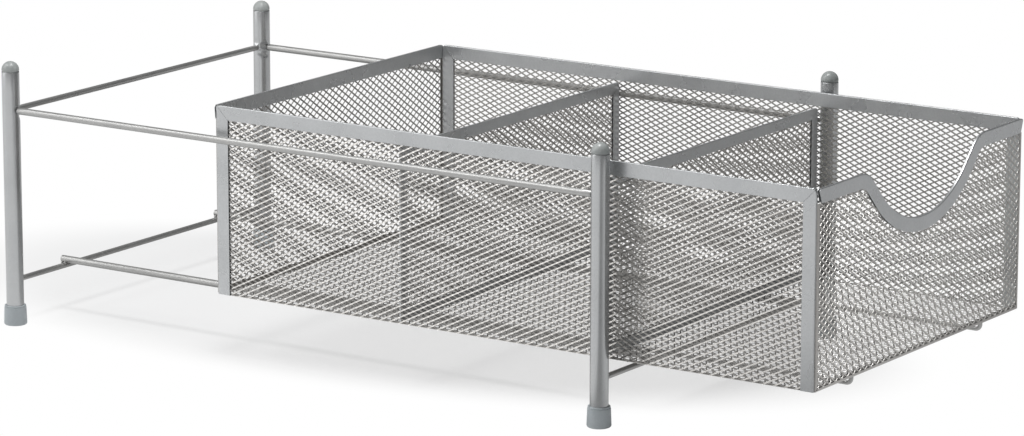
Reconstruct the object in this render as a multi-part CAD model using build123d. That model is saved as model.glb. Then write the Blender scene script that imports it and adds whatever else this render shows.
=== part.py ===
"""Sliding mesh drawer in a free-standing frame of four capped posts and welded rods.

+Z is up, the drawer draws out along -Y, and the origin lies on the floor, under the
middle of the whole object as it stands with the drawer part way out. Millimetres.
"""
import math
import os

from build123d import *

# Posts
post_diameter = 12.7
post_wall = 1.0
post_spacing_x = 299.0
post_spacing_y = 503.0
frame_height = 193.6

# Domed caps in the post tops
cap_skirt = 1.0
cap_plug_length = 9.0
cap_plug_clearance = 0.1

# Tapered feet round the post bottoms
foot_base_diameter = 16.8
foot_top_diameter = 15.4
foot_height = 14.5
foot_floor = 2.5
foot_socket_clearance = 0.1
foot_base_round = 1.4
foot_lip_round = 0.5

# Rods between the posts, and the hairline left at each weld
side_rod_diameter = 5.0
side_rod_height = 158.0
rear_rod_diameter = 4.2
cross_rod_diameter = 4.0
cross_rod_height = 32.6
weld_gap = 0.05

# Rails that lie along the lower cross rods
rail_diameter = 5.2
rail_spacing = 184.0
rail_overhang = 2.8
rail_end_chamfer = 0.5

# Runner wires under the drawer, each resting on the inner flank of its rail
runner_diameter = 3.0
runner_slide_gap = 0.3
runner_flank_angle = 38.0
runner_drop = 4.6
runner_bend_radius = 3.4
runner_end_inset = 1.5

# Drawer
drawer_side_clearance = 3.75
drawer_front_setback = 11.3
drawer_closed_gap = 1.0
drawer_drawn_out = 172.0
drawer_height = 135.4
mesh_thickness = 1.0

# Folded strips that bind the edges of the mesh
strip_width = 10.0
divider_strip_width = 7.8
strip_sheet = 0.5
strip_corner_radius = 3.0
front_strip_slant = 3.5
rear_strip_slant = 1.0

# Scoop in the top of the drawer front
scoop_depth = 42.8
scoop_slope_angle = 46.0
scoop_bottom_radius = 79.0
scoop_shoulder_radius = 24.0

# Dividers across the drawer, measured from its front
front_compartment_length = 164.0
middle_compartment_length = 167.0
divider_rim_drop = 11.0

# Diamond nets: long way and short way of one opening, strand width and plain border
side_net_long = 26.5
side_net_short = 13.1
cross_net_long = 25.8
cross_net_short = 16.3
wall_net_strand = 2.2
base_net_long = 40.0
base_net_short = 25.4
base_net_strand = 2.8
net_border = 2.0

# Worked out from the sizes above
post_radius = post_diameter / 2
post_top = frame_height - post_radius - cap_skirt
post_y = post_spacing_y / 2
post_x = post_spacing_x / 2

rail_z = cross_rod_height + (cross_rod_diameter + rail_diameter) / 2 + weld_gap
runner_reach = (rail_diameter + runner_diameter) / 2 + runner_slide_gap
runner_x = rail_spacing / 2 - runner_reach * math.cos(math.radians(runner_flank_angle))
runner_z = rail_z + runner_reach * math.sin(math.radians(runner_flank_angle))

strip_thickness = mesh_thickness + 2 * strip_sheet
drawer_width = post_spacing_x - post_diameter - 2 * drawer_side_clearance
drawer_length = post_spacing_y - rear_rod_diameter / 2 - drawer_closed_gap - drawer_front_setback
drawer_bottom = runner_z + runner_drop
drawer_top = drawer_bottom + drawer_height

# Places along Y, first from the middle of the frame and then from the origin
rear_face_from_frame = post_y - rear_rod_diameter / 2 - drawer_closed_gap - drawer_drawn_out
front_face_from_frame = rear_face_from_frame - drawer_length
back_from_frame = max(post_y + foot_base_diameter / 2, rear_face_from_frame)
front_from_frame = min(front_face_from_frame, -post_y - foot_base_diameter / 2)
frame_y = -(back_from_frame + front_from_frame) / 2
drawer_rear_y = frame_y + rear_face_from_frame
drawer_front_y = frame_y + front_face_from_frame
front_post_y = frame_y - post_y
rear_post_y = frame_y + post_y

side_panel_x = drawer_width / 2 - strip_thickness / 2
front_panel_y = drawer_front_y + strip_thickness / 2
rear_panel_y = drawer_rear_y - strip_thickness / 2
side_front_y = drawer_front_y + strip_thickness
side_rear_y = drawer_rear_y - strip_thickness
base_top = drawer_bottom + mesh_thickness
divider_top = drawer_top - divider_rim_drop
front_divider_y = drawer_front_y + front_compartment_length
rear_divider_y = front_divider_y + middle_compartment_length
divider_half_width = side_panel_x - mesh_thickness / 2

scoop_radii = scoop_bottom_radius + scoop_shoulder_radius
scoop_sine = math.sin(math.radians(scoop_slope_angle))
scoop_cosine = math.cos(math.radians(scoop_slope_angle))
scoop_straight = (scoop_depth - scoop_radii * (1 - scoop_cosine)) / scoop_sine
scoop_half_width = scoop_radii * scoop_sine + scoop_straight * scoop_cosine


def post_corners():
    """Name and place of each post."""
    return [
        ("front_left", -post_x, front_post_y),
        ("front_right", post_x, front_post_y),
        ("rear_left", -post_x, rear_post_y),
        ("rear_right", post_x, rear_post_y),
    ]


def upright_cylinder(radius, x, y, low_z, high_z):
    """Solid cylinder that stands from low_z to high_z."""
    return Pos(x, y, (low_z + high_z) / 2) * Cylinder(radius, high_z - low_z)


def post_tube(x, y):
    """Round tube from the floor of its foot to the rim of its cap."""
    outside = upright_cylinder(post_radius, x, y, foot_floor, post_top)
    bore = upright_cylinder(post_radius - post_wall, x, y, foot_floor, post_top)
    return outside - bore


def post_cap(x, y):
    """Half ball on a short skirt, with a plug inside the tube."""
    dome_z = post_top + cap_skirt
    dome = Pos(x, y, dome_z) * Sphere(post_radius)
    below = upright_cylinder(post_diameter, x, y, post_top - post_diameter, dome_z)
    skirt = upright_cylinder(post_radius, x, y, post_top, dome_z)
    plug_radius = post_radius - post_wall - cap_plug_clearance
    plug = upright_cylinder(plug_radius, x, y, post_top - cap_plug_length, dome_z)
    return (dome - below) + skirt + plug


def post_foot(x, y):
    """Tapered cup that the tube stands in, with a round lower edge and a round lip."""
    base = foot_base_diameter / 2
    top = foot_top_diameter / 2
    diagonal = math.sqrt(1 / 2)
    round_centre = (base - foot_base_round, foot_base_round)
    lip_centre = (top - foot_lip_round, foot_height - foot_lip_round)
    edges = [
        Line((0, 0), (round_centre[0], 0)),
        ThreePointArc(
            (round_centre[0], 0),
            (round_centre[0] + foot_base_round * diagonal, round_centre[1] - foot_base_round * diagonal),
            (base, round_centre[1]),
        ),
        Line((base, round_centre[1]), (top, lip_centre[1])),
        ThreePointArc(
            (top, lip_centre[1]),
            (lip_centre[0] + foot_lip_round * diagonal, lip_centre[1] + foot_lip_round * diagonal),
            (lip_centre[0], foot_height),
        ),
        Line((lip_centre[0], foot_height), (0, foot_height)),
        Line((0, foot_height), (0, 0)),
    ]
    cup = Pos(x, y, 0) * revolve(Plane.XZ * make_face(edges), Axis.Z)
    socket = upright_cylinder(post_radius + foot_socket_clearance, x, y, foot_floor, foot_height)
    return cup - socket


def without_posts(rod):
    """Rod whose ends are shaped to the round of the posts."""
    for _, x, y in post_corners():
        rod = rod - upright_cylinder(post_radius + weld_gap, x, y, 0, frame_height)
    return rod.solids().sort_by(SortBy.VOLUME)[-1]


def rod_along_x(diameter, y, z):
    """Round rod from a left post to a right post."""
    rod = Pos(0, y, z) * Rot(0, 90, 0) * Cylinder(diameter / 2, post_spacing_x)
    return without_posts(rod)


def rod_along_y(diameter, x, z):
    """Round rod from a front post to a rear post."""
    rod = Pos(x, frame_y, z) * Rot(90, 0, 0) * Cylinder(diameter / 2, post_spacing_y)
    return without_posts(rod)


def rail(x):
    """Straight rail that lies on both lower cross rods."""
    length = post_spacing_y + 2 * rail_overhang
    bar = Cylinder(rail_diameter / 2, length)
    bar = chamfer(bar.edges().filter_by(GeomType.CIRCLE), rail_end_chamfer)
    return Pos(x, frame_y, rail_z) * Rot(90, 0, 0) * bar


def runner(x):
    """Wire under the drawer, with both ends bent up to the drawer's bottom."""
    front = drawer_front_y + runner_end_inset + runner_diameter / 2
    rear = drawer_rear_y - runner_end_inset - runner_diameter / 2
    path = FilletPolyline(
        (x, front, drawer_bottom),
        (x, front, runner_z),
        (x, rear, runner_z),
        (x, rear, drawer_bottom),
        radius=runner_bend_radius,
    )
    section = Plane(origin=(x, front, drawer_bottom), z_dir=(0, 0, -1)) * Circle(runner_diameter / 2)
    return sweep(section, path=path)


def wall_plane(name, place):
    """Plane of an upright panel: its first axis is level and its second points up."""
    if name == "side":
        return Plane(origin=(place, 0, 0), x_dir=(0, 1, 0), z_dir=(1, 0, 0))
    return Plane(origin=(0, place, 0), x_dir=(1, 0, 0), z_dir=(0, -1, 0))


def slab(plane, outline, thickness):
    """Flat plate of one thickness, half on each side of a plane."""
    return extrude(plane.offset(-thickness / 2) * outline, amount=thickness)


def polygon(points):
    """Flat face with straight sides."""
    return make_face(Polyline(*points, close=True).edges())


def diamonds(low_u, high_u, low_v, high_v, long_way, short_way, strand, top_edge=None):
    """Outlines of the net's openings that lie whole inside a rectangle, in staggered rows.

    top_edge gives the highest v that is free at a u, where the rectangle's top isn't straight.
    """
    half_long = long_way / 2
    half_short = short_way / 2
    slant = math.hypot(half_long, half_short)
    inset = 1 - strand / 2 * slant / (half_long * half_short)
    reach_u = half_long * inset
    reach_v = half_short * inset
    columns = int((high_u - low_u - 2 * reach_u) / half_long)
    rows = int((high_v - low_v - 2 * reach_v) / half_short)
    first_u = (low_u + high_u - columns * half_long) / 2
    first_v = (low_v + high_v - rows * half_short) / 2
    outlines = []
    for row in range(rows + 1):
        v = first_v + row * half_short
        for column in range(row % 2, columns + 1, 2):
            u = first_u + column * half_long
            if top_edge and v > min(top_edge(u), top_edge(u - reach_u), top_edge(u + reach_u)) - reach_v:
                continue
            corners = [(u - reach_u, v), (u, v - reach_v), (u + reach_u, v), (u, v + reach_v)]
            outlines.append(Wire.make_polygon([Vector(a, b) for a, b in corners], close=True))
    return outlines


def net(plane, outline, openings):
    """Sheet of mesh: one face with many openings, given its thickness."""
    print("net with", len(openings), "openings")
    holed = Face(outline.face().outer_wire(), openings)
    return slab(plane, holed, mesh_thickness)


def round_upper_ends(outline, radius):
    """Outline with its outermost upper corners made round."""
    groups = outline.vertices().group_by(Axis.X)
    upper = [group.sort_by(Axis.Y)[-1] for group in (groups[0], groups[-1])]
    return fillet(upper, radius)


def rounded_top(low_u, high_u, low_v, high_v, radius):
    """Rectangle whose two upper corners are round."""
    outline = polygon([(low_u, low_v), (high_u, low_v), (high_u, high_v), (low_u, high_v)])
    return round_upper_ends(outline, radius)


def bound_panel(plane, low_u, high_u, low_v, high_v, width, foot_width, long_way, short_way):
    """Mesh panel with a folded strip along its top and down both ends, mitred at the corners.

    A fourth strip binds the foot where foot_width isn't zero.
    """
    outline = rounded_top(low_u, high_u, low_v, high_v, strip_corner_radius)
    mesh_outline = rounded_top(
        low_u + strip_sheet,
        high_u - strip_sheet,
        low_v + strip_sheet if foot_width else low_v,
        high_v - strip_sheet,
        strip_corner_radius - strip_sheet,
    )
    openings = diamonds(
        low_u + width + net_border,
        high_u - width - net_border,
        low_v + foot_width + net_border,
        high_v - width - net_border,
        long_way,
        short_way,
        wall_net_strand,
    )
    mesh = net(plane, mesh_outline, openings)
    sheet = slab(plane, mesh_outline, mesh_thickness)
    inner_u = (low_u + width, high_u - width)
    inner_v = (low_v + foot_width, high_v - width)
    bands = [
        polygon([(low_u, high_v), (high_u, high_v), (inner_u[1], inner_v[1]), (inner_u[0], inner_v[1])]),
        polygon([(low_u, low_v), (inner_u[0], inner_v[0]), (inner_u[0], inner_v[1]), (low_u, high_v)]),
        polygon([(high_u, low_v), (inner_u[1], inner_v[0]), (inner_u[1], inner_v[1]), (high_u, high_v)]),
    ]
    if foot_width:
        bands.append(
            polygon([(low_u, low_v), (high_u, low_v), (inner_u[1], inner_v[0]), (inner_u[0], inner_v[0])])
        )
    strips = [slab(plane, band & outline, strip_thickness) - sheet for band in bands]
    return mesh, strips


def scoop_height(u, offset):
    """Height of the scooped top edge at u, or of the line that runs below it by an offset."""
    top = drawer_top - offset
    bottom_radius = scoop_bottom_radius + offset
    shoulder_radius = scoop_shoulder_radius - offset
    reach = abs(u)
    if reach >= scoop_half_width:
        return top
    if reach > scoop_half_width - shoulder_radius * scoop_sine:
        along = scoop_half_width - reach
        return top - shoulder_radius + math.sqrt(shoulder_radius ** 2 - along ** 2)
    if reach < bottom_radius * scoop_sine:
        return top - scoop_depth + bottom_radius - math.sqrt(bottom_radius ** 2 - reach ** 2)
    start = bottom_radius * (1 - scoop_cosine)
    climb = (reach - bottom_radius * scoop_sine) * scoop_sine / scoop_cosine
    return top - scoop_depth + start + climb


def scooped_outline(half_width, low_v, offset):
    """Drawer front with its scoop, its upper edge moved down by an offset."""
    bottom_radius = scoop_bottom_radius + offset
    shoulder_radius = scoop_shoulder_radius - offset
    half_sine = math.sin(math.radians(scoop_slope_angle) / 2)
    shoulder_u = scoop_half_width - shoulder_radius * scoop_sine
    shoulder_mid_u = scoop_half_width - shoulder_radius * half_sine
    bottom_u = bottom_radius * scoop_sine

    def on_edge(u):
        return (u, scoop_height(u, offset))

    edges = [
        Line((-half_width, low_v), (half_width, low_v)),
        Line((half_width, low_v), on_edge(half_width)),
        Line(on_edge(half_width), on_edge(scoop_half_width)),
        ThreePointArc(on_edge(scoop_half_width), on_edge(shoulder_mid_u), on_edge(shoulder_u)),
        Line(on_edge(shoulder_u), on_edge(bottom_u)),
        ThreePointArc(on_edge(bottom_u), on_edge(0), on_edge(-bottom_u)),
        Line(on_edge(-bottom_u), on_edge(-shoulder_u)),
        ThreePointArc(on_edge(-shoulder_u), on_edge(-shoulder_mid_u), on_edge(-scoop_half_width)),
        Line(on_edge(-scoop_half_width), on_edge(-half_width)),
        Line(on_edge(-half_width), (-half_width, low_v)),
    ]
    return make_face(edges)


def slanted_ends(half_width, slant):
    """Outline between the two slanted ends of a rim strip, and on down to the foot of the wall."""
    slant_low = drawer_top - strip_width
    return polygon([
        (-half_width, drawer_top),
        (half_width, drawer_top),
        (half_width - slant, slant_low),
        (half_width - slant, drawer_bottom),
        (-half_width + slant, drawer_bottom),
        (-half_width + slant, slant_low),
    ])


def front_wall():
    """Scooped mesh front and the strip that follows its upper edge."""
    plane = wall_plane("front", front_panel_y)
    half_width = drawer_width / 2
    mesh_half_width = half_width - strip_sheet
    mesh_outline = scooped_outline(mesh_half_width, drawer_bottom, strip_sheet)
    mesh_outline = round_upper_ends(mesh_outline, strip_corner_radius - strip_sheet)
    openings = diamonds(
        -mesh_half_width + net_border,
        mesh_half_width - net_border,
        drawer_bottom + net_border,
        drawer_top - strip_width - net_border,
        cross_net_long,
        cross_net_short,
        wall_net_strand,
        lambda u: scoop_height(u, strip_width) - net_border,
    )
    mesh = net(plane, mesh_outline, openings)
    sheet = slab(plane, mesh_outline, mesh_thickness)
    whole = round_upper_ends(scooped_outline(half_width, drawer_bottom, 0), strip_corner_radius)
    band = whole - scooped_outline(half_width, drawer_bottom, strip_width)
    ends = slanted_ends(half_width, front_strip_slant)
    strip = slab(plane, band & ends, strip_thickness) - sheet
    return mesh, strip


def rear_wall():
    """Straight mesh back and the strip along its top."""
    plane = wall_plane("rear", rear_panel_y)
    half_width = drawer_width / 2
    mesh_half_width = half_width - strip_sheet
    strip_low = drawer_top - strip_width
    mesh_outline = rounded_top(
        -mesh_half_width,
        mesh_half_width,
        drawer_bottom,
        drawer_top - strip_sheet,
        strip_corner_radius - strip_sheet,
    )
    openings = diamonds(
        -mesh_half_width + net_border,
        mesh_half_width - net_border,
        drawer_bottom + net_border,
        strip_low - net_border,
        cross_net_long,
        cross_net_short,
        wall_net_strand,
    )
    mesh = net(plane, mesh_outline, openings)
    band = rounded_top(-half_width, half_width, strip_low, drawer_top, strip_corner_radius)
    ends = slanted_ends(half_width, rear_strip_slant)
    strip = slab(plane, band & ends, strip_thickness) - slab(plane, mesh_outline, mesh_thickness)
    return mesh, strip


def base_net():
    """Mesh bottom of the drawer, between its walls and notched round their corner strips."""
    half_width = side_panel_x - mesh_thickness / 2
    notch_x = side_panel_x - strip_thickness / 2
    front = front_panel_y + mesh_thickness / 2
    rear = rear_panel_y - mesh_thickness / 2
    front_notch = side_front_y + strip_width
    rear_notch = side_rear_y - strip_width
    right_side = [
        (notch_x, front),
        (notch_x, front_notch),
        (half_width, front_notch),
        (half_width, rear_notch),
        (notch_x, rear_notch),
        (notch_x, rear),
    ]
    left_side = [(-x, y) for x, y in reversed(right_side)]
    outline = polygon(right_side + left_side)
    openings = diamonds(
        -half_width + net_border,
        half_width - net_border,
        front + net_border,
        rear - net_border,
        base_net_long,
        base_net_short,
        base_net_strand,
    )
    return net(Plane.XY.offset(drawer_bottom + mesh_thickness / 2), outline, openings)


def side_wall(sign):
    """Bound mesh panel at one side of the drawer."""
    plane = wall_plane("side", sign * side_panel_x)
    return bound_panel(
        plane,
        side_front_y,
        side_rear_y,
        drawer_bottom,
        drawer_top,
        strip_width,
        0,
        side_net_long,
        side_net_short,
    )


def divider(y):
    """Bound mesh panel across the drawer."""
    plane = wall_plane("divider", y)
    return bound_panel(
        plane,
        -divider_half_width,
        divider_half_width,
        base_top,
        divider_top,
        divider_strip_width,
        divider_strip_width,
        cross_net_long,
        cross_net_short,
    )


def frame_nodes():
    """Sub-parts of the standing frame."""
    nodes = {}
    for corner, x, y in post_corners():
        nodes[corner + "_post"] = post_tube(x, y)
        nodes[corner + "_cap"] = post_cap(x, y)
        nodes[corner + "_foot"] = post_foot(x, y)
    nodes["left_side_rod"] = rod_along_y(side_rod_diameter, -post_x, side_rod_height)
    nodes["right_side_rod"] = rod_along_y(side_rod_diameter, post_x, side_rod_height)
    nodes["rear_upper_rod"] = rod_along_x(rear_rod_diameter, rear_post_y, side_rod_height)
    nodes["front_cross_rod"] = rod_along_x(cross_rod_diameter, front_post_y, cross_rod_height)
    nodes["rear_cross_rod"] = rod_along_x(cross_rod_diameter, rear_post_y, cross_rod_height)
    nodes["left_rail"] = rail(-rail_spacing / 2)
    nodes["right_rail"] = rail(rail_spacing / 2)
    return nodes


def drawer_nodes():
    """Sub-parts of the sliding drawer."""
    nodes = {"base_mesh": base_net()}
    nodes["front_mesh"], nodes["front_rim_strip"] = front_wall()
    nodes["rear_mesh"], nodes["rear_rim_strip"] = rear_wall()
    for side, sign in (("left", -1), ("right", 1)):
        mesh, strips = side_wall(sign)
        nodes[side + "_mesh"] = mesh
        nodes[side + "_rim_strip"] = strips[0]
        nodes[side + "_front_edge_strip"] = strips[1]
        nodes[side + "_rear_edge_strip"] = strips[2]
        nodes[side + "_runner_wire"] = runner(sign * runner_x)
    for place, y in (("front", front_divider_y), ("rear", rear_divider_y)):
        mesh, strips = divider(y)
        nodes[place + "_divider_mesh"] = mesh
        nodes[place + "_divider_rim_strip"] = strips[0]
        nodes[place + "_divider_left_strip"] = strips[1]
        nodes[place + "_divider_right_strip"] = strips[2]
        nodes[place + "_divider_foot_strip"] = strips[3]
    return nodes


os.makedirs("parts", exist_ok=True)
for node, shape in {**frame_nodes(), **drawer_nodes()}.items():
    export_step(shape, os.path.join("parts", node + ".step"))
print("frame centre y", round(frame_y, 3), "drawer", round(drawer_front_y, 3), round(drawer_rear_y, 3))
print("drawer bottom and top", round(drawer_bottom, 3), round(drawer_top, 3), "runner", round(runner_x, 3))
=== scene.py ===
"""Looks of the sliding mesh drawer and its post frame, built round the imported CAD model.

Metres and degrees, in the frame of the CAD model: +Z up, the drawer draws out along -Y.
"""
import math

import bmesh
import bpy
import numpy as np
from mathutils import Matrix, Vector


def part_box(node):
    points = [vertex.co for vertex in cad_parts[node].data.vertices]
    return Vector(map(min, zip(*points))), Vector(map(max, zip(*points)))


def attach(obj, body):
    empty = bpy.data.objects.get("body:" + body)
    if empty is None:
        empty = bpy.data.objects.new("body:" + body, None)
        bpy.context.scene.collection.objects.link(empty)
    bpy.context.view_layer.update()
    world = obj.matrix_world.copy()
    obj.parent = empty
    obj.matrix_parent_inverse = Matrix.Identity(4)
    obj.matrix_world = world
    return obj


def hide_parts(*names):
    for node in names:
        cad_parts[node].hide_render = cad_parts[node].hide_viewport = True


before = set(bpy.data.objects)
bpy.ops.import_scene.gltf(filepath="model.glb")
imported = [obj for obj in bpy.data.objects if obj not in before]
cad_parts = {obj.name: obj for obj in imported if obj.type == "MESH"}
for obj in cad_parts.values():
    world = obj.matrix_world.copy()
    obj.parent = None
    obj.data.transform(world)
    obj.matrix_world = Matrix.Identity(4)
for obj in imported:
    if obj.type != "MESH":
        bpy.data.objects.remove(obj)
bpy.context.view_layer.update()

# Camera, in the photograph's frame
image_width = 1024
image_height = 436
sensor_width = 36.0
focal_pixels = 4768.2
centre_pixel_x = 515.7
centre_pixel_y = 216.3
camera_place = (-2.7305, -1.8407, 0.8350)
camera_azimuth = -56.134
camera_elevation = 12.693
camera_roll = 0.109

# Expanded metal: long way and short way of one opening, strand, and how far a bond leans
side_mesh_long = 0.0081
side_mesh_short = 0.0040
cross_mesh_long = 0.0078
cross_mesh_short = 0.0051
base_mesh_long = 0.0079
base_mesh_short = 0.0050
strand_width = 0.00096
strand_sheet = 0.0004
left_rise = 0.00038
right_rise = 0.00010
cross_rise = -0.00026
base_rise = 0.00030

# Plain margins of the meshes, bent in or turned up, and how far a net reaches into them
margin_overlap = 0.0002
mesh_tuck = 0.0002
side_foot_margin = 0.0005
wall_foot_margin = 0.0022
wall_foot_round = 0.0008
wall_foot_turn = 0.0012
wall_end_margin = 0.0024
wall_end_round = 0.0008
base_margin = 0.0012
base_flange_height = 0.0036
base_fold_radius = 0.0012

# Folded strips
strip_sheet = 0.0004
strip_fold_radius = 0.0006
strip_leg_round = 0.00015
strip_corner_radius = 0.0030
strip_front_slant = 0.0035
strip_rear_slant = 0.0010
strip_row_shares = (1, 0.75, 0.5, 0.3)
mitre_gap = 0.00012

# Scoop of the front
scoop_slope_angle = 46.0
scoop_bottom_radius = 0.079
scoop_shoulder_radius = 0.024
scoop_cover_share = 0.6

# Posts, caps and feet
post_wall = 0.0010
post_rim_round = 0.0005
cap_seam_inset = 0.0005
cap_seam_height = 0.0005
cap_edge_round = 0.0003
foot_lip_height = 0.0012
foot_lip_groove = 0.00025
foot_lip_round = 0.0004
foot_lip_search = 0.0008
foot_base_round = 0.0014
foot_hole_radius = 0.001
seat_gap = 0.0001

# Rings of a post: few below the rods, many where welding has dented the rear posts, one above
post_ring_count = 6
dent_ring_count = 47
dent_zone_half = 0.0115
dent_zone_below = 0.0005
dent_zone_above = 0.0025

# Rods
rod_end_gap = 0.0002
rod_neck_length = 0.0005
rod_neck_share = 0.72
rod_shoulder = ((0.0002, 0.96), (0.0006, 1))
rod_end_zone = 0.01
rail_end_chamfer = 0.0005
rail_end_zone = 0.004
runner_bend_radius = 0.0034
runner_end_zone = 0.012
weld_spot_radius = 0.0011
weld_spot_share = 0.72
weld_spot_ahead = 0.0013
weld_spot_lift = 0.0003

# Points along straights, sides of round pieces, and a direction that no wire runs in
bar_points = 3
runner_points = 8
straight_points = 12
weld_spot_sides = 12
wire_sides = 24
round_sides = 48
sweep_hint = (0.31, 0.17, 0.93)

# Coats: broad clouds and fine flakes of noise, mixed, and the span of the mix that the tones cover
cloud_cells = 35.0
cloud_detail = 3
flake_detail = 2
cloud_share = 0.6
noise_start = 0.3
noise_stop = 0.7
flake_height = 0.0001

# Dark and light tone, metallic, roughness from and to, flakes in a metre, strength of the bump
coats = {
    "post_paint": ((0.45, 0.46, 0.465), (0.53, 0.54, 0.545), 0.80, 0.20, 0.26, 900, 0.06),
    "rod_paint": ((0.40, 0.40, 0.395), (0.48, 0.48, 0.47), 0.75, 0.34, 0.42, 900, 0.10),
    "mesh_paint": ((0.40, 0.39, 0.375), (0.50, 0.485, 0.465), 0.80, 0.26, 0.32, 600, 0.10),
    "strip_paint": ((0.485, 0.497, 0.504), (0.605, 0.617, 0.624), 0.66, 0.24, 0.34, 900, 0.12),
    "cap_plastic": ((0.26, 0.28, 0.275), (0.50, 0.52, 0.51), 0.0, 0.22, 0.42, 500, 0.25),
    "foot_plastic": ((0.42, 0.46, 0.48), (0.50, 0.54, 0.56), 0.0, 0.40, 0.50, 700, 0.15),
}

# Lamps, small overhead, high behind, and large at the left and behind: place, the point that each
# faces, width, height, and power in watts
lamps = {
    "top_lamp": ((-0.12, 0.08, 1.3), (-0.1, 0.05, 0), 0.35, 0.35, 9.0),
    "back_lamp": ((-0.85, 1.15, 1.75), (0, 0, 0.1), 0.9, 0.7, 8.0),
    "left_softbox": ((-1.34, 1.99, 1.15), (0, 0, 0.6), 0.7, 2.2, 8.0),
}
sky_strength = 0.34
sky_colour = (0.97, 0.98, 1.0)

# Glowing dome that only reflections meet, a painted reflection of dark and pale surroundings: its
# opening by bearing and height, glow tones from its dark side to its bright side, and how far toward the
# bright side (as a cosine) the tones start and stop
studio_radius = 3.0
studio_step = 5.0
studio_open_start = 100.0
studio_open_stop = 150.0
studio_open_top = 40.0
painted_reflection_bright_bearing = 141.0
painted_reflection_far_glow = 0.10
painted_reflection_near_glow = 0.47
painted_reflection_glow_start = -0.6
painted_reflection_glow_stop = 0.9

# Floor: pale paper that keeps the shadow, mixed with plain white, wholly white outside an oval zone
floor_half = 30.0
floor_tone = 0.86
floor_roughness = 0.30
floor_white_share = 0.58
floor_zone_centre = (0.05, 0.12)
floor_zone_x = 0.19
floor_zone_y = 0.36
floor_zone_start = 0.85
floor_zone_stop = 1.20
# Painted shade in reflections: how bright the floor glows in reflections near the object, rising to full
# further out
floor_near_painted_reflection_shade = 0.45

# Painted reflection: tones that the floor glows with in reflections only, by its bearing as a share of a
# turn from -X
floor_painted_reflection_tones = (
    (0.0, 1.0), (0.072, 1.0), (0.105, 0.38), (0.14, 0.38), (0.20, 0.80), (0.29, 0.80),
    (0.325, 0.55), (0.36, 0.60), (0.50, 0.70), (0.667, 0.60), (0.764, 1.0),
)


def place_on(origin, along, up, outward):
    """Function that puts panel coordinates (u, v, height) into space."""
    o, a, b, c = (np.array(x, float) for x in (origin, along, up, outward))

    def place(u, v, height):
        u, v, height = np.broadcast_arrays(u, v, height)
        return o + u[..., None] * a + v[..., None] * b + height[..., None] * c

    return place


def side_place(x):
    """Upright panel across X, seen from the left: u runs to the front."""
    return place_on((x, 0, 0), (0, -1, 0), (0, 0, 1), (-1, 0, 0))


def cross_place(y):
    """Upright panel across Y, seen from the front."""
    return place_on((0, y, 0), (1, 0, 0), (0, 0, 1), (0, -1, 0))


def join(shells):
    """One list of vertices and faces from several."""
    vertices, faces, start = [], [], 0
    for shell_vertices, shell_faces in shells:
        vertices.append(np.asarray(shell_vertices, float).reshape(-1, 3))
        faces.extend([tuple(int(i) + start for i in face) for face in shell_faces])
        start += len(vertices[-1])
    return np.concatenate(vertices), faces


def add_piece(name, shells, body, slot, stands_for, recalculate=True, smooth_angle=35.0):
    """Mesh object made of closed shells, riding on a CAD body, in place of CAD nodes."""
    vertices, faces = join(shells)
    mesh = bpy.data.meshes.new(name)
    mesh.from_pydata(vertices.tolist(), [], faces)
    if recalculate:
        work = bmesh.new()
        work.from_mesh(mesh)
        bmesh.ops.recalc_face_normals(work, faces=work.faces)
        work.to_mesh(mesh)
        work.free()
    if smooth_angle:
        mesh.polygons.foreach_set("use_smooth", np.ones(len(mesh.polygons), bool))
        mesh.set_sharp_from_angle(angle=math.radians(smooth_angle))
    mesh.materials.append(paint[slot])
    obj = bpy.data.objects.new(name, mesh)
    bpy.context.scene.collection.objects.link(obj)
    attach(obj, body)
    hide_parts(*stands_for)
    return obj


def flat_uv(obj, along, up):
    """Planar map over a panel, so that its thousands of strands bake as one sheet."""
    mesh = obj.data
    points = np.zeros(len(mesh.vertices) * 3)
    mesh.vertices.foreach_get("co", points)
    points = points.reshape(-1, 3)
    flat = np.stack([points @ np.array(along, float), points @ np.array(up, float)], axis=1)
    low, high = flat.min(0), flat.max(0)
    flat = (flat - low) / (high - low).max()
    corners = np.zeros(len(mesh.loops), int)
    mesh.loops.foreach_get("vertex_index", corners)
    layer = mesh.uv_layers.new(name="OFBake")
    layer.data.foreach_set("uv", flat[corners].astype(np.float32).ravel())


def loft(rings, caps=True):
    """Closed skin through rings of equally many points, with flat ends."""
    rings = np.asarray(rings, float)
    count, around = rings.shape[:2]
    faces = []
    for i in range(count - 1):
        for j in range(around):
            k = (j + 1) % around
            faces.append((i * around + j, i * around + k, (i + 1) * around + k, (i + 1) * around + j))
    if caps:
        faces.append(tuple(range(around))[::-1])
        faces.append(tuple((count - 1) * around + j for j in range(around)))
    return rings.reshape(-1, 3), faces


def lathe(profile, centre, sides=round_sides, closed=False, push=None):
    """Skin made by turning (radius, height) points about an upright axis.

    A closed profile makes a tube with walls. push(angle, height) moves points outward.
    """
    angles = np.linspace(0, 2 * math.pi, sides, endpoint=False)
    rings = []
    for radius, height in profile:
        reach = radius + (push(angles, height) if push else 0 * angles)
        rings.append(np.stack([
            centre[0] + reach * np.cos(angles),
            centre[1] + reach * np.sin(angles),
            0 * angles + height,
        ], axis=1))
    if closed:
        rings.append(rings[0])
        vertices, faces = loft(rings, caps=False)
        last = (len(rings) - 1) * sides
        faces = [tuple(i - last if i >= last else i for i in face) for face in faces]
        return vertices[:last], faces
    return loft(rings)


def arc(centre, radius, start, stop, steps):
    """Points of a flat arc, angles in degrees."""
    angles = np.radians(np.linspace(start, stop, steps + 1))
    return [(centre[0] + radius * math.cos(a), centre[1] + radius * math.sin(a)) for a in angles]


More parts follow.
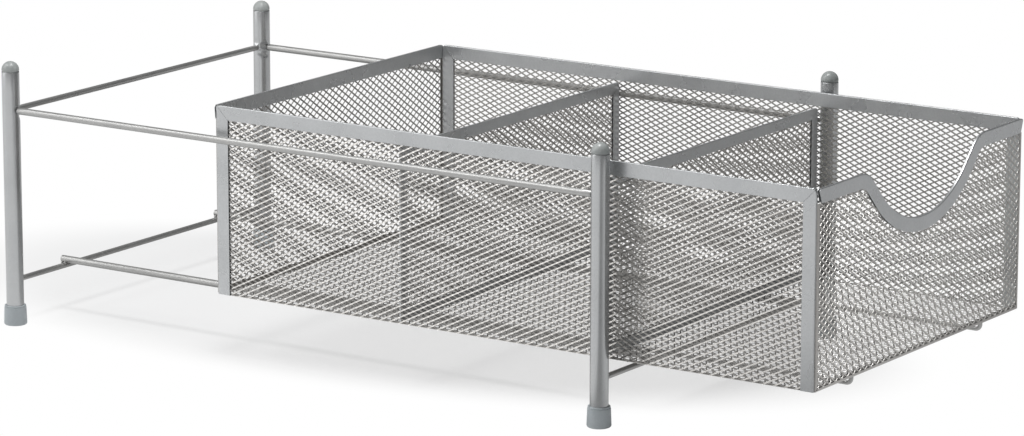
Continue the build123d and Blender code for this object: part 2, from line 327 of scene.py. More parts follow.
def sweep(path, radii, sides=wire_sides):
    """Round wire along a path, with a radius for each of its points."""
    path = np.asarray(path, float)
    radii = np.broadcast_to(np.asarray(radii, float), len(path))
    tangents = np.gradient(path, axis=0)
    tangents /= np.linalg.norm(tangents, axis=1)[:, None]
    side = np.cross(tangents[0], sweep_hint)
    rings = []
    angles = np.linspace(0, 2 * math.pi, sides, endpoint=False)
    for point, tangent, radius in zip(path, tangents, radii):
        side = side - (side @ tangent) * tangent
        side /= np.linalg.norm(side)
        other = np.cross(tangent, side)
        rings.append(point + radius * (np.cos(angles)[:, None] * side + np.sin(angles)[:, None] * other))
    return loft(rings)


def lattice(place, low_u, high_u, low_v, high_v, long_way, short_way, rise, inside=None):
    """Expanded metal between four borders, with a bond at each meeting of two strands.

    Each bond is a small lozenge, and each strand a twisted ribbon between two bonds. The lower
    corner of a bond stands out of the panel by the rise, and the upper one lies as much behind.
    inside(u, v) says which bonds are kept.
    """
    columns = max(2, round((high_u - low_u) / (long_way / 2)))
    rows = max(2, round((high_v - low_v) / (short_way / 2)))
    step_u = (high_u - low_u) / columns
    step_v = (high_v - low_v) / rows
    slant = math.atan2(step_v, step_u)
    half_long = strand_width / 2 / math.sin(slant)
    half_short = strand_width / 2 / math.cos(slant)
    i, j = np.meshgrid(np.arange(columns + 1), np.arange(rows + 1), indexing="ij")
    u, v = low_u + i * step_u, low_v + j * step_v
    kept = (i + j) % 2 == 0
    if inside:
        kept &= inside(u, v)
    number = np.full(kept.shape, -1)
    number[kept] = np.arange(kept.sum())
    east, north, west, south = range(4)
    corner_u = np.array([half_long, 0, -half_long, 0])
    corner_v = np.array([0, half_short, 0, -half_short])
    corner_rise = np.array([0, -rise, 0, rise])
    bond_u = u[kept][:, None] + corner_u
    bond_v = v[kept][:, None] + corner_v
    front = place(bond_u, bond_v, corner_rise + strand_sheet / 2)
    back = place(bond_u, bond_v, corner_rise - strand_sheet / 2)
    vertices = np.concatenate([front, back], axis=1).reshape(-1, 3)
    behind = 4
    base = number[kept] * 8
    faces = [
        np.stack([base + east, base + north, base + west, base + south], axis=1),
        np.stack([base + south, base + west, base + north, base + east], axis=1) + behind,
    ]

    def wall(a, b):
        return np.stack([a + behind, b + behind, b, a], axis=1)

    joined = {}
    for step, name in ((1, "rising"), (-1, "falling")):
        other = np.full(kept.shape, -1)
        if step > 0:
            other[:-1, :-1] = number[1:, 1:]
        else:
            other[:-1, 1:] = number[1:, :-1]
        both = kept & (other >= 0)
        p, q = number[both] * 8, other[both] * 8
        if step > 0:
            ring = (p + east, q + south, q + west, p + north)
        else:
            ring = (p + south, q + west, q + north, p + east)
        faces.append(np.stack(ring, axis=1))
        faces.append(np.stack(ring[::-1], axis=1) + behind)
        faces.append(wall(ring[0], ring[1]))
        faces.append(wall(ring[2], ring[3]))
        joined[name] = both
    rising, falling = joined["rising"], joined["falling"]
    has = {
        (east, north): rising,
        (south, east): falling,
        (west, south): np.zeros_like(kept),
        (north, west): np.zeros_like(kept),
    }
    has[(west, south)][1:, 1:] = rising[:-1, :-1]
    has[(north, west)][1:, :-1] = falling[:-1, 1:]
    for (a, b), strand in has.items():
        bare = number[kept & ~strand] * 8
        faces.append(wall(bare + a, bare + b))
    return vertices, np.concatenate(faces)


def channel(curve, place, width):
    """Sheet strip folded over an edge, which runs along a family of curves.

    curve(depth) gives the (u, v) points of the line that lies that far in from the edge.
    """
    half = strip_thickness / 2
    slot = half - strip_sheet
    leg = strip_leg_round
    fold = strip_fold_radius
    outer = [(width, half - leg), (width - leg, half)]
    inner = [(width, slot), (width - leg, slot)]
    for share in strip_row_shares:
        outer.append((strip_corner_radius * share, half))
        inner.append((strip_corner_radius * share, slot))
    for x, y in arc((0, 0), 1, 90, 180, steps=5):
        outer.append((fold + fold * x, half - fold + fold * y))
        inner.append((fold + (fold - strip_sheet) * x, half - fold + (fold - strip_sheet) * y))
    outer += [(depth, -height) for depth, height in reversed(outer)]
    inner += [(depth, -height) for depth, height in reversed(inner)]
    rows = []
    for depth, height in outer + inner[::-1]:
        points = np.asarray(curve(depth))
        rows.append(place(points[:, 0], points[:, 1], np.full(len(points), height)))
    rings = np.swapaxes(np.array(rows), 0, 1)
    vertices, faces = loft(rings, caps=False)
    last = (len(rings) - 1) * len(rows)
    for k in range(len(outer) - 1):
        end = (k, len(rows) - 1 - k, len(rows) - 2 - k, k + 1)
        faces.append(end)
        faces.append(tuple(last + i for i in reversed(end)))
    return vertices, faces


def corner_run(depth, length, steps=14):
    """Line at a depth inside a rounded corner, from the mitre to a point on the straight.

    Both coordinates count from the sharp corner: along the edge, and in from it.
    """
    radius = max(strip_corner_radius - depth, 0)
    bend = radius * math.pi / 4
    start = max(strip_corner_radius, depth)
    total = bend + length - start
    points = []
    for travelled in np.linspace(0, total, steps + 1):
        if travelled < bend:
            angle = math.pi / 4 + travelled / radius
            reach = strip_corner_radius - radius * math.cos(angle)
            inward = strip_corner_radius - radius * math.sin(angle)
        else:
            reach, inward = start + travelled - bend, depth
        points.append((reach, inward))
    points[0] = (points[0][0] + mitre_gap, points[0][1])
    return np.array(points)


def bound_curves(low_u, high_u, low_v, high_v, corner_length, with_foot):
    """Curves of the strips round a panel: top, low-u end, high-u end and, where it has one, foot."""

    def top(depth):
        run = corner_run(depth, corner_length)
        left = np.stack([low_u + run[:, 0], high_v - run[:, 1]], axis=1)
        right = np.stack([high_u - run[::-1, 0], high_v - run[::-1, 1]], axis=1)
        return np.concatenate([left, right])

    def end(edge_u, sign):
        def curve(depth):
            run = corner_run(depth, corner_length)[::-1]
            upper = np.stack([edge_u + sign * run[:, 1], high_v - run[:, 0]], axis=1)
            start = low_v + depth + mitre_gap if with_foot else low_v
            return np.concatenate([[(edge_u + sign * depth, start)], upper])

        return curve

    def bottom(depth):
        reach = depth + mitre_gap
        along = np.linspace(low_u + reach, high_u - reach, straight_points)
        return np.array([(u, low_v + depth) for u in along])

    curves = [top, end(low_u, 1), end(high_u, -1)]
    return curves + [bottom] if with_foot else curves


def cell_noise(nodes, links, scale, detail, source):
    """Noise texture of a given number of cells in a metre."""
    noise = nodes.new("ShaderNodeTexNoise")
    noise.inputs["Scale"].default_value = scale
    noise.inputs["Detail"].default_value = detail
    links.new(source, noise.inputs["Vector"])
    return noise


def coated(name, dark, light, metallic, rough_low, rough_high, grain, bump):
    """Paint or moulded plastic: two close tones, a grain, uneven gloss and a fine bump."""
    material = bpy.data.materials.new(name)
    material.use_nodes = True
    nodes, links = material.node_tree.nodes, material.node_tree.links
    shader = nodes["Principled BSDF"]
    shader.inputs["Metallic"].default_value = metallic
    place = nodes.new("ShaderNodeTexCoord")
    cloud = cell_noise(nodes, links, cloud_cells, cloud_detail, place.outputs["Object"])
    flake = cell_noise(nodes, links, grain, flake_detail, place.outputs["Object"])
    both = nodes.new("ShaderNodeMath")
    both.operation = "MULTIPLY_ADD"
    both.inputs[1].default_value = cloud_share
    links.new(cloud.outputs["Fac"], both.inputs[0])
    rest = nodes.new("ShaderNodeMath")
    rest.operation = "MULTIPLY"
    rest.inputs[1].default_value = 1 - cloud_share
    links.new(flake.outputs["Fac"], rest.inputs[0])
    links.new(rest.outputs["Value"], both.inputs[2])
    tone = nodes.new("ShaderNodeValToRGB")
    tone.color_ramp.elements[0].position = noise_start
    tone.color_ramp.elements[0].color = (*dark, 1)
    tone.color_ramp.elements[1].position = noise_stop
    tone.color_ramp.elements[1].color = (*light, 1)
    links.new(both.outputs["Value"], tone.inputs["Fac"])
    links.new(tone.outputs["Color"], shader.inputs["Base Color"])
    gloss = nodes.new("ShaderNodeMapRange")
    gloss.inputs["From Min"].default_value = noise_start
    gloss.inputs["From Max"].default_value = noise_stop
    gloss.inputs["To Min"].default_value = rough_low
    gloss.inputs["To Max"].default_value = rough_high
    links.new(cloud.outputs["Fac"], gloss.inputs["Value"])
    links.new(gloss.outputs["Result"], shader.inputs["Roughness"])
    relief = nodes.new("ShaderNodeBump")
    relief.inputs["Strength"].default_value = bump
    relief.inputs["Distance"].default_value = flake_height
    links.new(flake.outputs["Fac"], relief.inputs["Height"])
    links.new(relief.outputs["Normal"], shader.inputs["Normal"])
    return material


paint = {slot: coated(slot, *coat) for slot, coat in coats.items()}


def box_of(node):
    """Lowest and highest corner of a CAD node as arrays."""
    low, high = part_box(node)
    return np.array(low), np.array(high)


# Places that the frame gives
rim_low, rim_high = box_of("left_rim_strip")
edge_low = box_of("left_front_edge_strip")[0]
rear_edge_high = box_of("left_rear_edge_strip")[1]
front_rim_low, front_rim_high = box_of("front_rim_strip")
rear_rim_low, rear_rim_high = box_of("rear_rim_strip")
base_low, base_high = box_of("base_mesh")
strip_width = rim_high[2] - rim_low[2]
strip_thickness = rim_high[0] - rim_low[0]
drawer_top = rim_high[2]
drawer_bottom = base_low[2]
drawer_half_width = front_rim_high[0]
scoop_depth = front_rim_high[2] - front_rim_low[2] - strip_width
side_panel_x = -(rim_low[0] + rim_high[0]) / 2
side_front_y = edge_low[1]
side_rear_y = rear_edge_high[1]
front_panel_y = (front_rim_low[1] + front_rim_high[1]) / 2
rear_panel_y = (rear_rim_low[1] + rear_rim_high[1]) / 2
base_z = (base_low[2] + base_high[2]) / 2
scoop_sine = math.sin(math.radians(scoop_slope_angle))
scoop_cosine = math.cos(math.radians(scoop_slope_angle))
scoop_radii = scoop_bottom_radius + scoop_shoulder_radius
scoop_straight = (scoop_depth - scoop_radii * (1 - scoop_cosine)) / scoop_sine
scoop_half_width = scoop_radii * scoop_sine + scoop_straight * scoop_cosine


def rim_end(depth, slant):
    """How far along a rim of the front or back reaches at a depth: a round corner, then a slant."""
    above = max(strip_corner_radius - depth, 0)
    rounded = strip_corner_radius - math.sqrt(strip_corner_radius ** 2 - above ** 2)
    return drawer_half_width - max(rounded, slant * min(depth / strip_width, 1))


def scoop_curve(depth):
    """Line at a depth below the scooped upper edge of the front, from left to right."""
    end = rim_end(depth, strip_front_slant)
    shoulder = (-scoop_half_width, drawer_top - scoop_shoulder_radius)
    bottom = (0, drawer_top - scoop_depth + scoop_bottom_radius)
    turn = scoop_slope_angle
    left = [(-end, drawer_top - depth), (-(end + scoop_half_width) / 2, drawer_top - depth)]
    left += arc(shoulder, scoop_shoulder_radius - depth, 90, 90 - turn, steps=14)
    left += arc(bottom, scoop_bottom_radius + depth, 270 - turn, 270, steps=16)
    right = [(-u, v) for u, v in reversed(left[:-1])]
    return np.array(left + right)


def scoop_height(u, depth):
    """Height of the line at a depth below the scooped edge."""
    line = scoop_curve(depth)
    return np.interp(u, line[:, 0], line[:, 1])


def rear_curve(depth):
    """Line at a depth below the straight upper edge of the back, from left to right."""
    end = rim_end(depth, strip_rear_slant)
    return np.array([(u, drawer_top - depth) for u in np.linspace(-end, end, straight_points)])


def bound_panel(place, low, high, width, with_foot, openings, rise):
    """Mesh of a panel and its strips: on three sides, or on all four where it has a foot strip.

    low and high are two corners (u, v), and openings the long and the short way of one.
    """
    curves = bound_curves(low[0], high[0], low[1], high[1], width + strip_corner_radius, with_foot)
    strips = [channel(curve, place, width) for curve in curves]
    inset = width - mesh_tuck
    foot = inset if with_foot else side_foot_margin - margin_overlap
    start, stop = low[0] + inset, high[0] - inset
    shells = [lattice(place, start, stop, low[1] + foot, high[1] - inset, *openings, rise)]
    if not with_foot:
        shells.append(plain_bar(place, start, stop, low[1], low[1] + side_foot_margin))
    return shells, strips


def plain_bar(place, low_u, high_u, low_v, high_v):
    """Flat plain piece of sheet in a panel's plane."""
    half = strand_sheet / 2
    rings = []
    for u in np.linspace(low_u, high_u, bar_points):
        v = np.array([low_v, high_v, high_v, low_v])
        height = np.array([half, half, -half, -half])
        rings.append(place(np.full(4, u), v, height))
    return loft(rings)


def sheet_outline(section):
    """Closed outline of a thin sheet along a bent section."""
    section = np.asarray(section, float)
    run = np.gradient(section, axis=0)
    run /= np.linalg.norm(run, axis=1)[:, None]
    normal = np.stack([-run[:, 1], run[:, 0]], axis=1) * strand_sheet / 2
    return np.concatenate([section + normal, (section - normal)[::-1]])


def bent_bar(section, low_x, high_x):
    """Thin sheet of a bent section, given as (y, z) points, from one x to another."""
    outline = sheet_outline(section)
    rings = []
    for x in np.linspace(low_x, high_x, bar_points):
        rings.append(np.column_stack([np.full(len(outline), x), outline]))
    return loft(rings)


def add_strip(name, shell):
    """Folded strip that stands for the CAD node of the same name."""
    add_piece(name + "_folded", [shell], "drawer", "strip_paint", [name])


def add_net(name, shells, along, up):
    """Mesh panel that stands for the CAD node of the same name."""
    obj = add_piece(
        name + "_fine", shells, "drawer", "mesh_paint", [name], recalculate=False, smooth_angle=0
    )
    flat_uv(obj, along, up)


def build_sides():
    """Left and right walls of the drawer."""
    low, high = (-side_rear_y, drawer_bottom), (-side_front_y, drawer_top)
    for side, sign, rise in (("left", -1, left_rise), ("right", 1, right_rise)):
        place = side_place(sign * side_panel_x)
        shells, strips = bound_panel(
            place, low, high, strip_width, False,
            (side_mesh_long, side_mesh_short), rise,
        )
        add_net(side + "_mesh", shells, (0, 1, 0), (0, 0, 1))
        for part, shell in zip(("rim", "rear_edge", "front_edge"), strips):
            add_strip(side + "_" + part + "_strip", shell)


def build_dividers():
    """Two bound panels across the drawer."""
    for name in ("front_divider", "rear_divider"):
        low, high = box_of(name + "_left_strip")
        top_low, top_high = box_of(name + "_rim_strip")
        far_high = box_of(name + "_right_strip")[1]
        place = cross_place((low[1] + high[1]) / 2)
        shells, strips = bound_panel(
            place, (low[0], low[2]), (far_high[0], top_high[2]), top_high[2] - top_low[2],
            True, (cross_mesh_long, cross_mesh_short), cross_rise,
        )
        add_net(name + "_mesh", shells, (1, 0, 0), (0, 0, 1))
        for part, shell in zip(("rim", "left", "right", "foot"), strips):
            add_strip(name + "_" + part + "_strip", shell)


def wall_ends(panel_y, low_z, high_z, inward):
    """Plain margins at both ends of the front or back, each turned in round the corner."""
    shells = []
    radius = wall_end_round
    reach = drawer_half_width - strip_sheet
    for sign in (-1, 1):
        bend = arc((reach - radius, radius), radius, 0, -90, steps=5)
        section = bend + [(reach - wall_end_margin, 0)]
        outline = sheet_outline([(sign * x, panel_y + inward * y) for x, y in section])
        rings = [np.column_stack([outline, np.full(len(outline), z)]) for z in (low_z, high_z)]
        shells.append(loft(rings))
    return shells


def build_front_and_rear():
    """Scooped front and straight back of the drawer."""
    end = drawer_half_width - strip_sheet - wall_end_margin + margin_overlap
    low_v = drawer_bottom + wall_foot_margin - margin_overlap
    high_v = drawer_top - strip_width + mesh_tuck
    reach = drawer_half_width - strip_sheet - wall_end_round

    def under_scoop(u, v):
        return v < scoop_height(u, strip_width * scoop_cover_share)

    for name, y, curve, inside, inward in (
        ("front", front_panel_y, scoop_curve, under_scoop, 1),
        ("rear", rear_panel_y, rear_curve, None, -1),
    ):
        place = cross_place(y)
        net = lattice(
            place, -end, end, low_v, high_v, cross_mesh_long, cross_mesh_short, cross_rise, inside
        )
        level = drawer_bottom + strand_sheet / 2
        centre = (y + inward * wall_foot_round, level + wall_foot_round)
        section = [(y, drawer_bottom + wall_foot_margin)]
        section += [
            (centre[0] - inward * a, centre[1] + b)
            for a, b in arc((0, 0), wall_foot_round, 0, -90, steps=5)
        ]
        section.append((centre[0] + inward * wall_foot_turn, level))
        shells = [net, bent_bar(section, -reach, reach)]
        shells += wall_ends(y, drawer_bottom + wall_foot_round, drawer_top - strip_width, inward)
        add_net(name + "_mesh", shells, (1, 0, 0), (0, 0, 1))
        add_strip(name + "_rim_strip", channel(curve, place, strip_width))


def build_base():
    """Mesh bottom of the drawer, with a flange turned up inside the front and the back."""
    place = place_on((0, 0, base_z), (1, 0, 0), (0, 1, 0), (0, 0, 1))
    low, high = base_low, base_high
    inset = base_margin - margin_overlap
    turn = base_fold_radius + wall_foot_turn
    shells = [lattice(
        place, low[0] + inset, high[0] - inset, low[1] + inset + turn, high[1] - inset - turn,
        base_mesh_long, base_mesh_short, base_rise,
    )]
    for side in (low[0], high[0] - base_margin):
        start, stop = low[1] + strip_width, high[1] - strip_width
        shells.append(plain_bar(place, side, side + base_margin, start, stop))
    flange_reach = side_panel_x - strip_thickness
    fold = base_fold_radius
    for wall_y, inward in ((front_panel_y, 1), (rear_panel_y, -1)):
        start = wall_y + inward * (strand_sheet + base_rise)
        section = [(start, base_z + base_flange_height)]
        section += [
            (start + inward * (fold - x), base_z + fold + y)
            for x, y in arc((0, 0), fold, 0, -90, steps=6)
        ]
        section.append((start + inward * (turn + base_margin), base_z))
        shells.append(bent_bar(section, -flange_reach, flange_reach))
    add_net("base_mesh", shells, (1, 0, 0), (0, 1, 0))


def weld_dents(corner):
    """Dents of a rear post at the rods, as bearing, height over the rods, depth and spread."""
    if not corner.startswith("rear"):
        return []
    toward, straight, between = (-1, 180, 225) if corner.endswith("right") else (1, 0, -45)
    return [
        (straight + 8 * toward, 0.0042, 0.0006, 0.0024),
        (between + 4, 0.0016, 0.0007, 0.0026),
        (between + 12, -0.0052, 0.0006, 0.0026),
        (between - 18, -0.0035, 0.0005, 0.0022),
        (270, 0.0008, 0.0005, 0.0026),
    ]


def dent_depth(angles, up, radius, dents):
    """How far dents push in the wall of a post, negative, at angles round it at one height."""
    depth = 0 * angles
    for bearing, rise, deep, spread in dents:
        across = np.angle(np.exp(1j * (angles - math.radians(bearing)))) * radius
        depth = depth - deep * np.exp(-((across ** 2 + (up - rise) ** 2) / spread ** 2) ** 2)
    return depth


def add_tube(corner, low, high, rod_height):
    """Post, open at both ends and dented where it is a rear one."""
    centre = (low + high) / 2
    radius = (high[0] - low[0]) / 2
    rim = post_rim_round
    dents = weld_dents(corner)
    zone_low, zone_high = rod_height - dent_zone_half, rod_height + dent_zone_half
    heights = list(np.linspace(low[2], zone_low - dent_zone_below, post_ring_count))
    heights += list(np.linspace(zone_low, zone_high, dent_ring_count))
    heights += [zone_high + dent_zone_above]
    profile = [(radius - post_wall, low[2])] + [(radius, z) for z in heights]
    profile += arc((radius - rim, high[2] - rim), rim, 0, 90, steps=4)
    profile += [(radius - post_wall, high[2])]
    shell = lathe(
        profile, centre, closed=True,
        push=lambda angles, height: dent_depth(angles, height - rod_height, radius, dents),
    )
    add_piece(corner + "_tube", [shell], "frame", "post_paint", [corner + "_post"])


def add_dome(corner, low, high):
    """Cap with its plug in the post, whose corners low and high are."""
    cap_low, cap_high = box_of(corner + "_cap")
    centre = (low + high) / 2
    radius = (high[0] - low[0]) / 2
    plug = radius - post_wall - seat_gap
    seam = radius - cap_seam_inset
    skirt = high[2] + cap_seam_height
    edge = cap_edge_round
    profile = [(plug, cap_low[2]), (plug, high[2]), (seam, high[2]), (seam, skirt)]
    profile += arc((radius - edge, skirt + edge), edge, -80, 0, steps=3)
    profile += arc((0, cap_high[2] - radius), radius, 0, 89, steps=16)
    shell = lathe(profile, centre)
    add_piece(corner + "_dome", [shell], "frame", "cap_plastic", [corner + "_cap"])


def add_boot(corner, low, high):
    """Foot with the hole that the post stands in; low and high are the post's corners."""
    foot_low, foot_high = box_of(corner + "_foot")
    centre = (low + high) / 2
    hole = (high[0] - low[0]) / 2 + seat_gap
    base = (foot_high[0] - foot_low[0]) / 2
    top = box_top_radius(corner)
    groove, lip = foot_lip_groove, foot_lip_round
    lip_z = foot_high[2] - foot_lip_height
    profile = [(foot_hole_radius, foot_low[2])]
    profile += arc((base - foot_base_round, foot_base_round), foot_base_round, -90, 0, steps=6)
    profile += [(top + groove, lip_z - groove), (top - groove, lip_z), (top, lip_z + groove)]
    profile += arc((top - lip, foot_high[2] - lip), lip, 0, 90, steps=4)
    profile += [(hole, foot_high[2]), (hole, low[2]), (foot_hole_radius, low[2])]
    shell = lathe(profile, centre, closed=True)
    add_piece(corner + "_boot", [shell], "frame", "foot_plastic", [corner + "_foot"])


def build_posts():
    """Tubes, caps and feet."""
    rod_low, rod_high = box_of("left_side_rod")
    rod_height = (rod_low[2] + rod_high[2]) / 2
    for corner in ("front_left", "front_right", "rear_left", "rear_right"):
        low, high = box_of(corner + "_post")
        add_tube(corner, low, high, rod_height)
        add_dome(corner, low, high)
        add_boot(corner, low, high)


def box_top_radius(corner):
    """Radius of a foot at its lip, read from the CAD node's highest points."""
    vertices = [v.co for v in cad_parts[corner + "_foot"].data.vertices]
    top = max(v.z for v in vertices)
    low, high = box_of(corner + "_foot")
    centre = (low + high) / 2
    near = [v for v in vertices if v.z > top - foot_lip_search]
    return max(math.hypot(v.x - centre[0], v.y - centre[1]) for v in near)


def necked(start, stop, radius):
    """Straight rod that narrows to a neck just before each post."""
    start, stop = np.array(start), np.array(stop)
    length = np.linalg.norm(stop - start)
    along = (stop - start) / length
    stations = [0, rod_neck_length] + [rod_neck_length + ahead for ahead, share in rod_shoulder]
    shares = [rod_neck_share] * 2 + [share for ahead, share in rod_shoulder]
    middle = list(np.linspace(rod_end_zone, length - rod_end_zone, straight_points))
    stations += middle + [length - s for s in reversed(stations)]
    shares += [1] * straight_points + shares[::-1]
    path = [start + along * s for s in stations]
    return sweep(path, radius * np.array(shares))


def build_rods():
    """Welded rods and the two rails."""
    for name, axis in (
        ("left_side_rod", 1), ("right_side_rod", 1), ("rear_upper_rod", 0),
        ("front_cross_rod", 0), ("rear_cross_rod", 0),
    ):
        low, high = box_of(name)
        middle = (low + high) / 2
        radius = (high[2] - low[2]) / 2
        start, stop = middle.copy(), middle.copy()
        start[axis], stop[axis] = low[axis] + rod_end_gap, high[axis] - rod_end_gap
        shell = necked(start, stop, radius)
        add_piece(name + "_wire", [shell], "frame", "rod_paint", [name])
    crossings = [sum(box_of(name))[1] / 2 for name in ("front_cross_rod", "rear_cross_rod")]
    for side in ("left", "right"):
        name = side + "_rail"
        low, high = box_of(name)
        middle = (low + high) / 2
        radius = (high[2] - low[2]) / 2
        chamfer = rail_end_chamfer
        stations = [low[1], low[1] + chamfer]
        stations += list(np.linspace(low[1] + rail_end_zone, high[1] - rail_end_zone, straight_points))
        stations += [high[1] - chamfer, high[1]]
        radii = [radius - chamfer] + [radius] * (len(stations) - 2) + [radius - chamfer]
        shells = [sweep([(middle[0], y, middle[2]) for y in stations], radii)]
        level = low[2] + weld_spot_lift
        ball = [(x, level + z) for x, z in arc((0, 0), weld_spot_radius, -85, 85, steps=8)]
        for cross_y in crossings:
            for dx, dy in ((-1, -1), (1, 1), (-1, 1), (1, -1)):
                centre = (middle[0] + dx * radius * weld_spot_share, cross_y + dy * weld_spot_ahead)
                shells.append(lathe(ball, centre, sides=weld_spot_sides))
        add_piece(name + "_bar", shells, "frame", "rod_paint", [name])


def build_runners():
    """Wires under the drawer with both ends bent up."""
    for side in ("left", "right"):
        name = side + "_runner_wire"
        low, high = box_of(name)
        x = (low[0] + high[0]) / 2
        radius = (high[0] - low[0]) / 2
        front, rear = low[1] + radius, high[1] - radius
        level, bend = low[2] + radius, runner_bend_radius
        straight = np.linspace(front + runner_end_zone, rear - runner_end_zone, runner_points)
        path = [(front, high[2] - seat_gap)]
        path += arc((front + bend, level + bend), bend, 180, 270, steps=8)
        path += [(y, level) for y in straight]
        path += arc((rear - bend, level + bend), bend, 270, 360, steps=8)
        path += [(rear, high[2] - seat_gap)]
        shell = sweep([(x, y, z) for y, z in path], radius)
        add_piece(name + "_bent", [shell], "drawer", "rod_paint", [name])


def light_rays(nodes, links, names):
    """One for a ray of any of the named kinds, else zero."""
    path = nodes.new("ShaderNodeLightPath")
    seen = path.outputs[names[0]]
    for name in names[1:]:
        either = nodes.new("ShaderNodeMath")
        either.operation = "MAXIMUM"
        links.new(seen, either.inputs[0])
        links.new(path.outputs[name], either.inputs[1])
        seen = either.outputs["Value"]
    return seen


def build_world():
    """Even grey sky, which camera, reflections and glass see as white."""
    world = bpy.data.worlds.new("studio")
    bpy.context.scene.world = world
    world.use_nodes = True
    nodes, links = world.node_tree.nodes, world.node_tree.links
    sky = nodes["Background"]
    sky.inputs["Color"].default_value = (*sky_colour, 1)
    sky.inputs["Strength"].default_value = sky_strength
    white = nodes.new("ShaderNodeBackground")
    white.inputs["Color"].default_value = (1, 1, 1, 1)
    white.inputs["Strength"].default_value = 1
    mix = nodes.new("ShaderNodeMixShader")
    seen = light_rays(nodes, links, ("Is Camera Ray", "Is Glossy Ray", "Is Transmission Ray"))
    links.new(seen, mix.inputs["Fac"])
    links.new(sky.outputs["Background"], mix.inputs[1])
    links.new(white.outputs["Background"], mix.inputs[2])
    links.new(mix.outputs["Shader"], nodes["World Output"].inputs["Surface"])


def build_floor():
    """Pale floor with a faint shadow, white further out, that glows in reflections with painted
    reflection tones by bearing and painted shade near the object.
    """
    corners = [(x * floor_half, y * floor_half, 0) for x, y in ((-1, -1), (1, -1), (1, 1), (-1, 1))]
    mesh = bpy.data.meshes.new("floor")
    mesh.from_pydata(corners, [], [(0, 1, 2, 3)])
    floor = bpy.data.objects.new("floor", mesh)
    bpy.context.scene.collection.objects.link(floor)
    material = bpy.data.materials.new("floor_paper")
    material.use_nodes = True
    nodes, links = material.node_tree.nodes, material.node_tree.links
    paper = nodes["Principled BSDF"]
    paper.inputs["Base Color"].default_value = (floor_tone, floor_tone, floor_tone, 1)
    paper.inputs["Roughness"].default_value = floor_roughness
    glow = nodes.new("ShaderNodeEmission")
    glow.inputs["Color"].default_value = (1, 1, 1, 1)
    place = nodes.new("ShaderNodeTexCoord")

    def zone_fade(near_value, far_value):
        """Value that goes from one near the object to another far from it."""
        fade = nodes.new("ShaderNodeMapRange")
        fade.interpolation_type = "SMOOTHSTEP"
        fade.inputs["From Min"].default_value = floor_zone_start
        fade.inputs["From Max"].default_value = floor_zone_stop
        fade.inputs["To Min"].default_value = near_value
        fade.inputs["To Max"].default_value = far_value
        links.new(reach.outputs["Value"], fade.inputs["Value"])
        return fade.outputs["Result"]

    spread = nodes.new("ShaderNodeMapping")
    spread.vector_type = "POINT"
    centre_x, centre_y = floor_zone_centre
    spread.inputs["Scale"].default_value = (1 / floor_zone_x, 1 / floor_zone_y, 1)
    spread.inputs["Location"].default_value = (-centre_x / floor_zone_x, -centre_y / floor_zone_y, 0)
    links.new(place.outputs["Object"], spread.inputs["Vector"])
    reach = nodes.new("ShaderNodeVectorMath")
    reach.operation = "LENGTH"
    links.new(spread.outputs["Vector"], reach.inputs[0])
    seen = nodes.new("ShaderNodeMath")
    seen.operation = "MULTIPLY"
    links.new(light_rays(nodes, links, ("Is Camera Ray",)), seen.inputs[0])
    links.new(zone_fade(floor_white_share, 1), seen.inputs[1])
    # Painted reflection: the glow that reflections see, in tones by bearing, dimmed near the object as
    # painted shade
    around = nodes.new("ShaderNodeTexGradient")
    around.gradient_type = "RADIAL"
    links.new(place.outputs["Object"], around.inputs["Vector"])
    tones = nodes.new("ShaderNodeValToRGB")
    ramp = tones.color_ramp.elements
    while len(ramp) < len(floor_painted_reflection_tones):
        ramp.new(1)
    for stop, (position, tone) in zip(ramp, floor_painted_reflection_tones):
        stop.position = position
        stop.color = (tone, tone, tone, 1)
    links.new(around.outputs["Fac"], tones.inputs["Fac"])
    gloss = nodes.new("ShaderNodeMath")
    gloss.operation = "MULTIPLY"
    links.new(tones.outputs["Color"], gloss.inputs[0])
    links.new(zone_fade(floor_near_painted_reflection_shade, 1), gloss.inputs[1])
    met = light_rays(nodes, links, ("Is Glossy Ray", "Is Transmission Ray"))
    strength = nodes.new("ShaderNodeMix")
    links.new(met, strength.inputs["Factor"])
    strength.inputs["A"].default_value = 1
    links.new(gloss.outputs["Value"], strength.inputs["B"])
    links.new(strength.outputs["Result"], glow.inputs["Strength"])
    share = nodes.new("ShaderNodeMath")
    share.operation = "MAXIMUM"
    links.new(seen.outputs["Value"], share.inputs[0])
    links.new(met, share.inputs[1])
    mix = nodes.new("ShaderNodeMixShader")
    links.new(share.outputs["Value"], mix.inputs["Fac"])
    links.new(paper.outputs["BSDF"], mix.inputs[1])
    links.new(glow.outputs["Emission"], mix.inputs[2])
    links.new(mix.outputs["Shader"], nodes["Material Output"].inputs["Surface"])
    mesh.materials.append(material)


def add_lamp(name, place, target, size_x, size_y, power):
    """Soft rectangular lamp that faces a point."""
    data = bpy.data.lights.new(name, "AREA")
    data.shape = "RECTANGLE"
    data.size = size_x
    data.size_y = size_y
    data.energy = power
    lamp = bpy.data.objects.new(name, data)
    bpy.context.scene.collection.objects.link(lamp)
    lamp.location = place
    aim = Vector(target) - Vector(place)
    lamp.rotation_mode = "QUATERNION"
    lamp.rotation_quaternion = aim.to_track_quat("-Z", "Y")


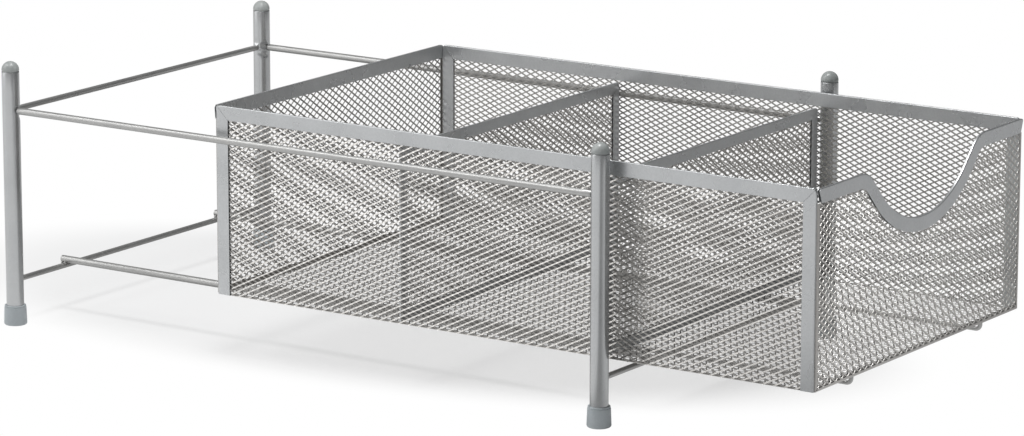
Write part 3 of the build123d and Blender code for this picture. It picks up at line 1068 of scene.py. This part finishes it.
def build_painted_reflection_dome():
    """Glowing dome, which only reflections meet: a painted reflection, dim on one side and paler toward
    the left behind, open to the white sky low behind the left.
    """
    bearings = np.arange(0, 361, studio_step)
    heights = np.arange(0, 90, studio_step)
    radius = studio_radius
    vertices = [
        (radius * math.cos(h) * math.cos(b), radius * math.cos(h) * math.sin(b), radius * math.sin(h))
        for b in np.radians(bearings) for h in np.radians(heights)
    ]
    around = len(heights)
    faces = [
        (i * around + j, i * around + j + 1, (i + 1) * around + j + 1, (i + 1) * around + j)
        for i, bearing in enumerate(bearings[:-1]) for j, height in enumerate(heights[:-1])
        if not (studio_open_start <= bearing < studio_open_stop and height < studio_open_top)
    ]
    mesh = bpy.data.meshes.new("painted_reflection_dome")
    mesh.from_pydata(vertices, [], faces)
    painted_reflection_shell = bpy.data.objects.new("painted_reflection_dome", mesh)
    bpy.context.scene.collection.objects.link(painted_reflection_shell)
    material = bpy.data.materials.new("painted_reflection_dome")
    material.use_nodes = True
    nodes, links = material.node_tree.nodes, material.node_tree.links
    nodes.remove(nodes["Principled BSDF"])
    place = nodes.new("ShaderNodeTexCoord")
    toward = nodes.new("ShaderNodeVectorMath")
    toward.operation = "DOT_PRODUCT"
    bearing = math.radians(painted_reflection_bright_bearing)
    toward.inputs[1].default_value = (math.cos(bearing) / radius, math.sin(bearing) / radius, 0)
    links.new(place.outputs["Object"], toward.inputs[0])
    tone = nodes.new("ShaderNodeMapRange")
    tone.interpolation_type = "SMOOTHSTEP"
    tone.inputs["From Min"].default_value = painted_reflection_glow_start
    tone.inputs["From Max"].default_value = painted_reflection_glow_stop
    tone.inputs["To Min"].default_value = painted_reflection_far_glow
    tone.inputs["To Max"].default_value = painted_reflection_near_glow
    links.new(toward.outputs["Value"], tone.inputs["Value"])
    # Painted reflection: the dome glows in tones by bearing and stands in for dark and pale surroundings
    glow = nodes.new("ShaderNodeEmission")
    links.new(tone.outputs["Result"], glow.inputs["Strength"])
    links.new(glow.outputs["Emission"], nodes["Material Output"].inputs["Surface"])
    mesh.materials.append(material)
    # Only glossy rays see the painted reflection dome
    painted_reflection_shell.visible_camera = False
    painted_reflection_shell.visible_diffuse = False
    painted_reflection_shell.visible_transmission = False
    painted_reflection_shell.visible_volume_scatter = False
    painted_reflection_shell.visible_shadow = False


def build_camera():
    """Camera at the photograph's place."""
    data = bpy.data.cameras.new("camera")
    camera = bpy.data.objects.new("camera", data)
    bpy.context.scene.collection.objects.link(camera)
    data.sensor_width = sensor_width
    data.lens = focal_pixels / image_width * sensor_width
    data.shift_x = ((image_width - 1) / 2 - centre_pixel_x) / image_width
    data.shift_y = (centre_pixel_y - (image_height - 1) / 2) / image_width
    azimuth, elevation = math.radians(camera_azimuth), math.radians(camera_elevation)
    back = Vector((
        math.sin(azimuth) * math.cos(elevation),
        -math.cos(azimuth) * math.cos(elevation),
        math.sin(elevation),
    ))
    camera.location = camera_place
    camera.rotation_mode = "QUATERNION"
    look = (-back).to_track_quat("-Z", "Y")
    roll = Matrix.Rotation(math.radians(camera_roll), 3, "Z").to_quaternion()
    camera.rotation_quaternion = look @ roll
    data.clip_start = 0.05
    data.clip_end = 200
    bpy.context.scene.camera = camera


build_sides()
build_dividers()
build_front_and_rear()
build_base()
build_posts()
build_rods()
build_runners()
build_world()
build_floor()
for lamp_name, setting in lamps.items():
    add_lamp(lamp_name, *setting)
build_painted_reflection_dome()
build_camera()

bpy.context.scene.view_settings.view_transform = "Standard"
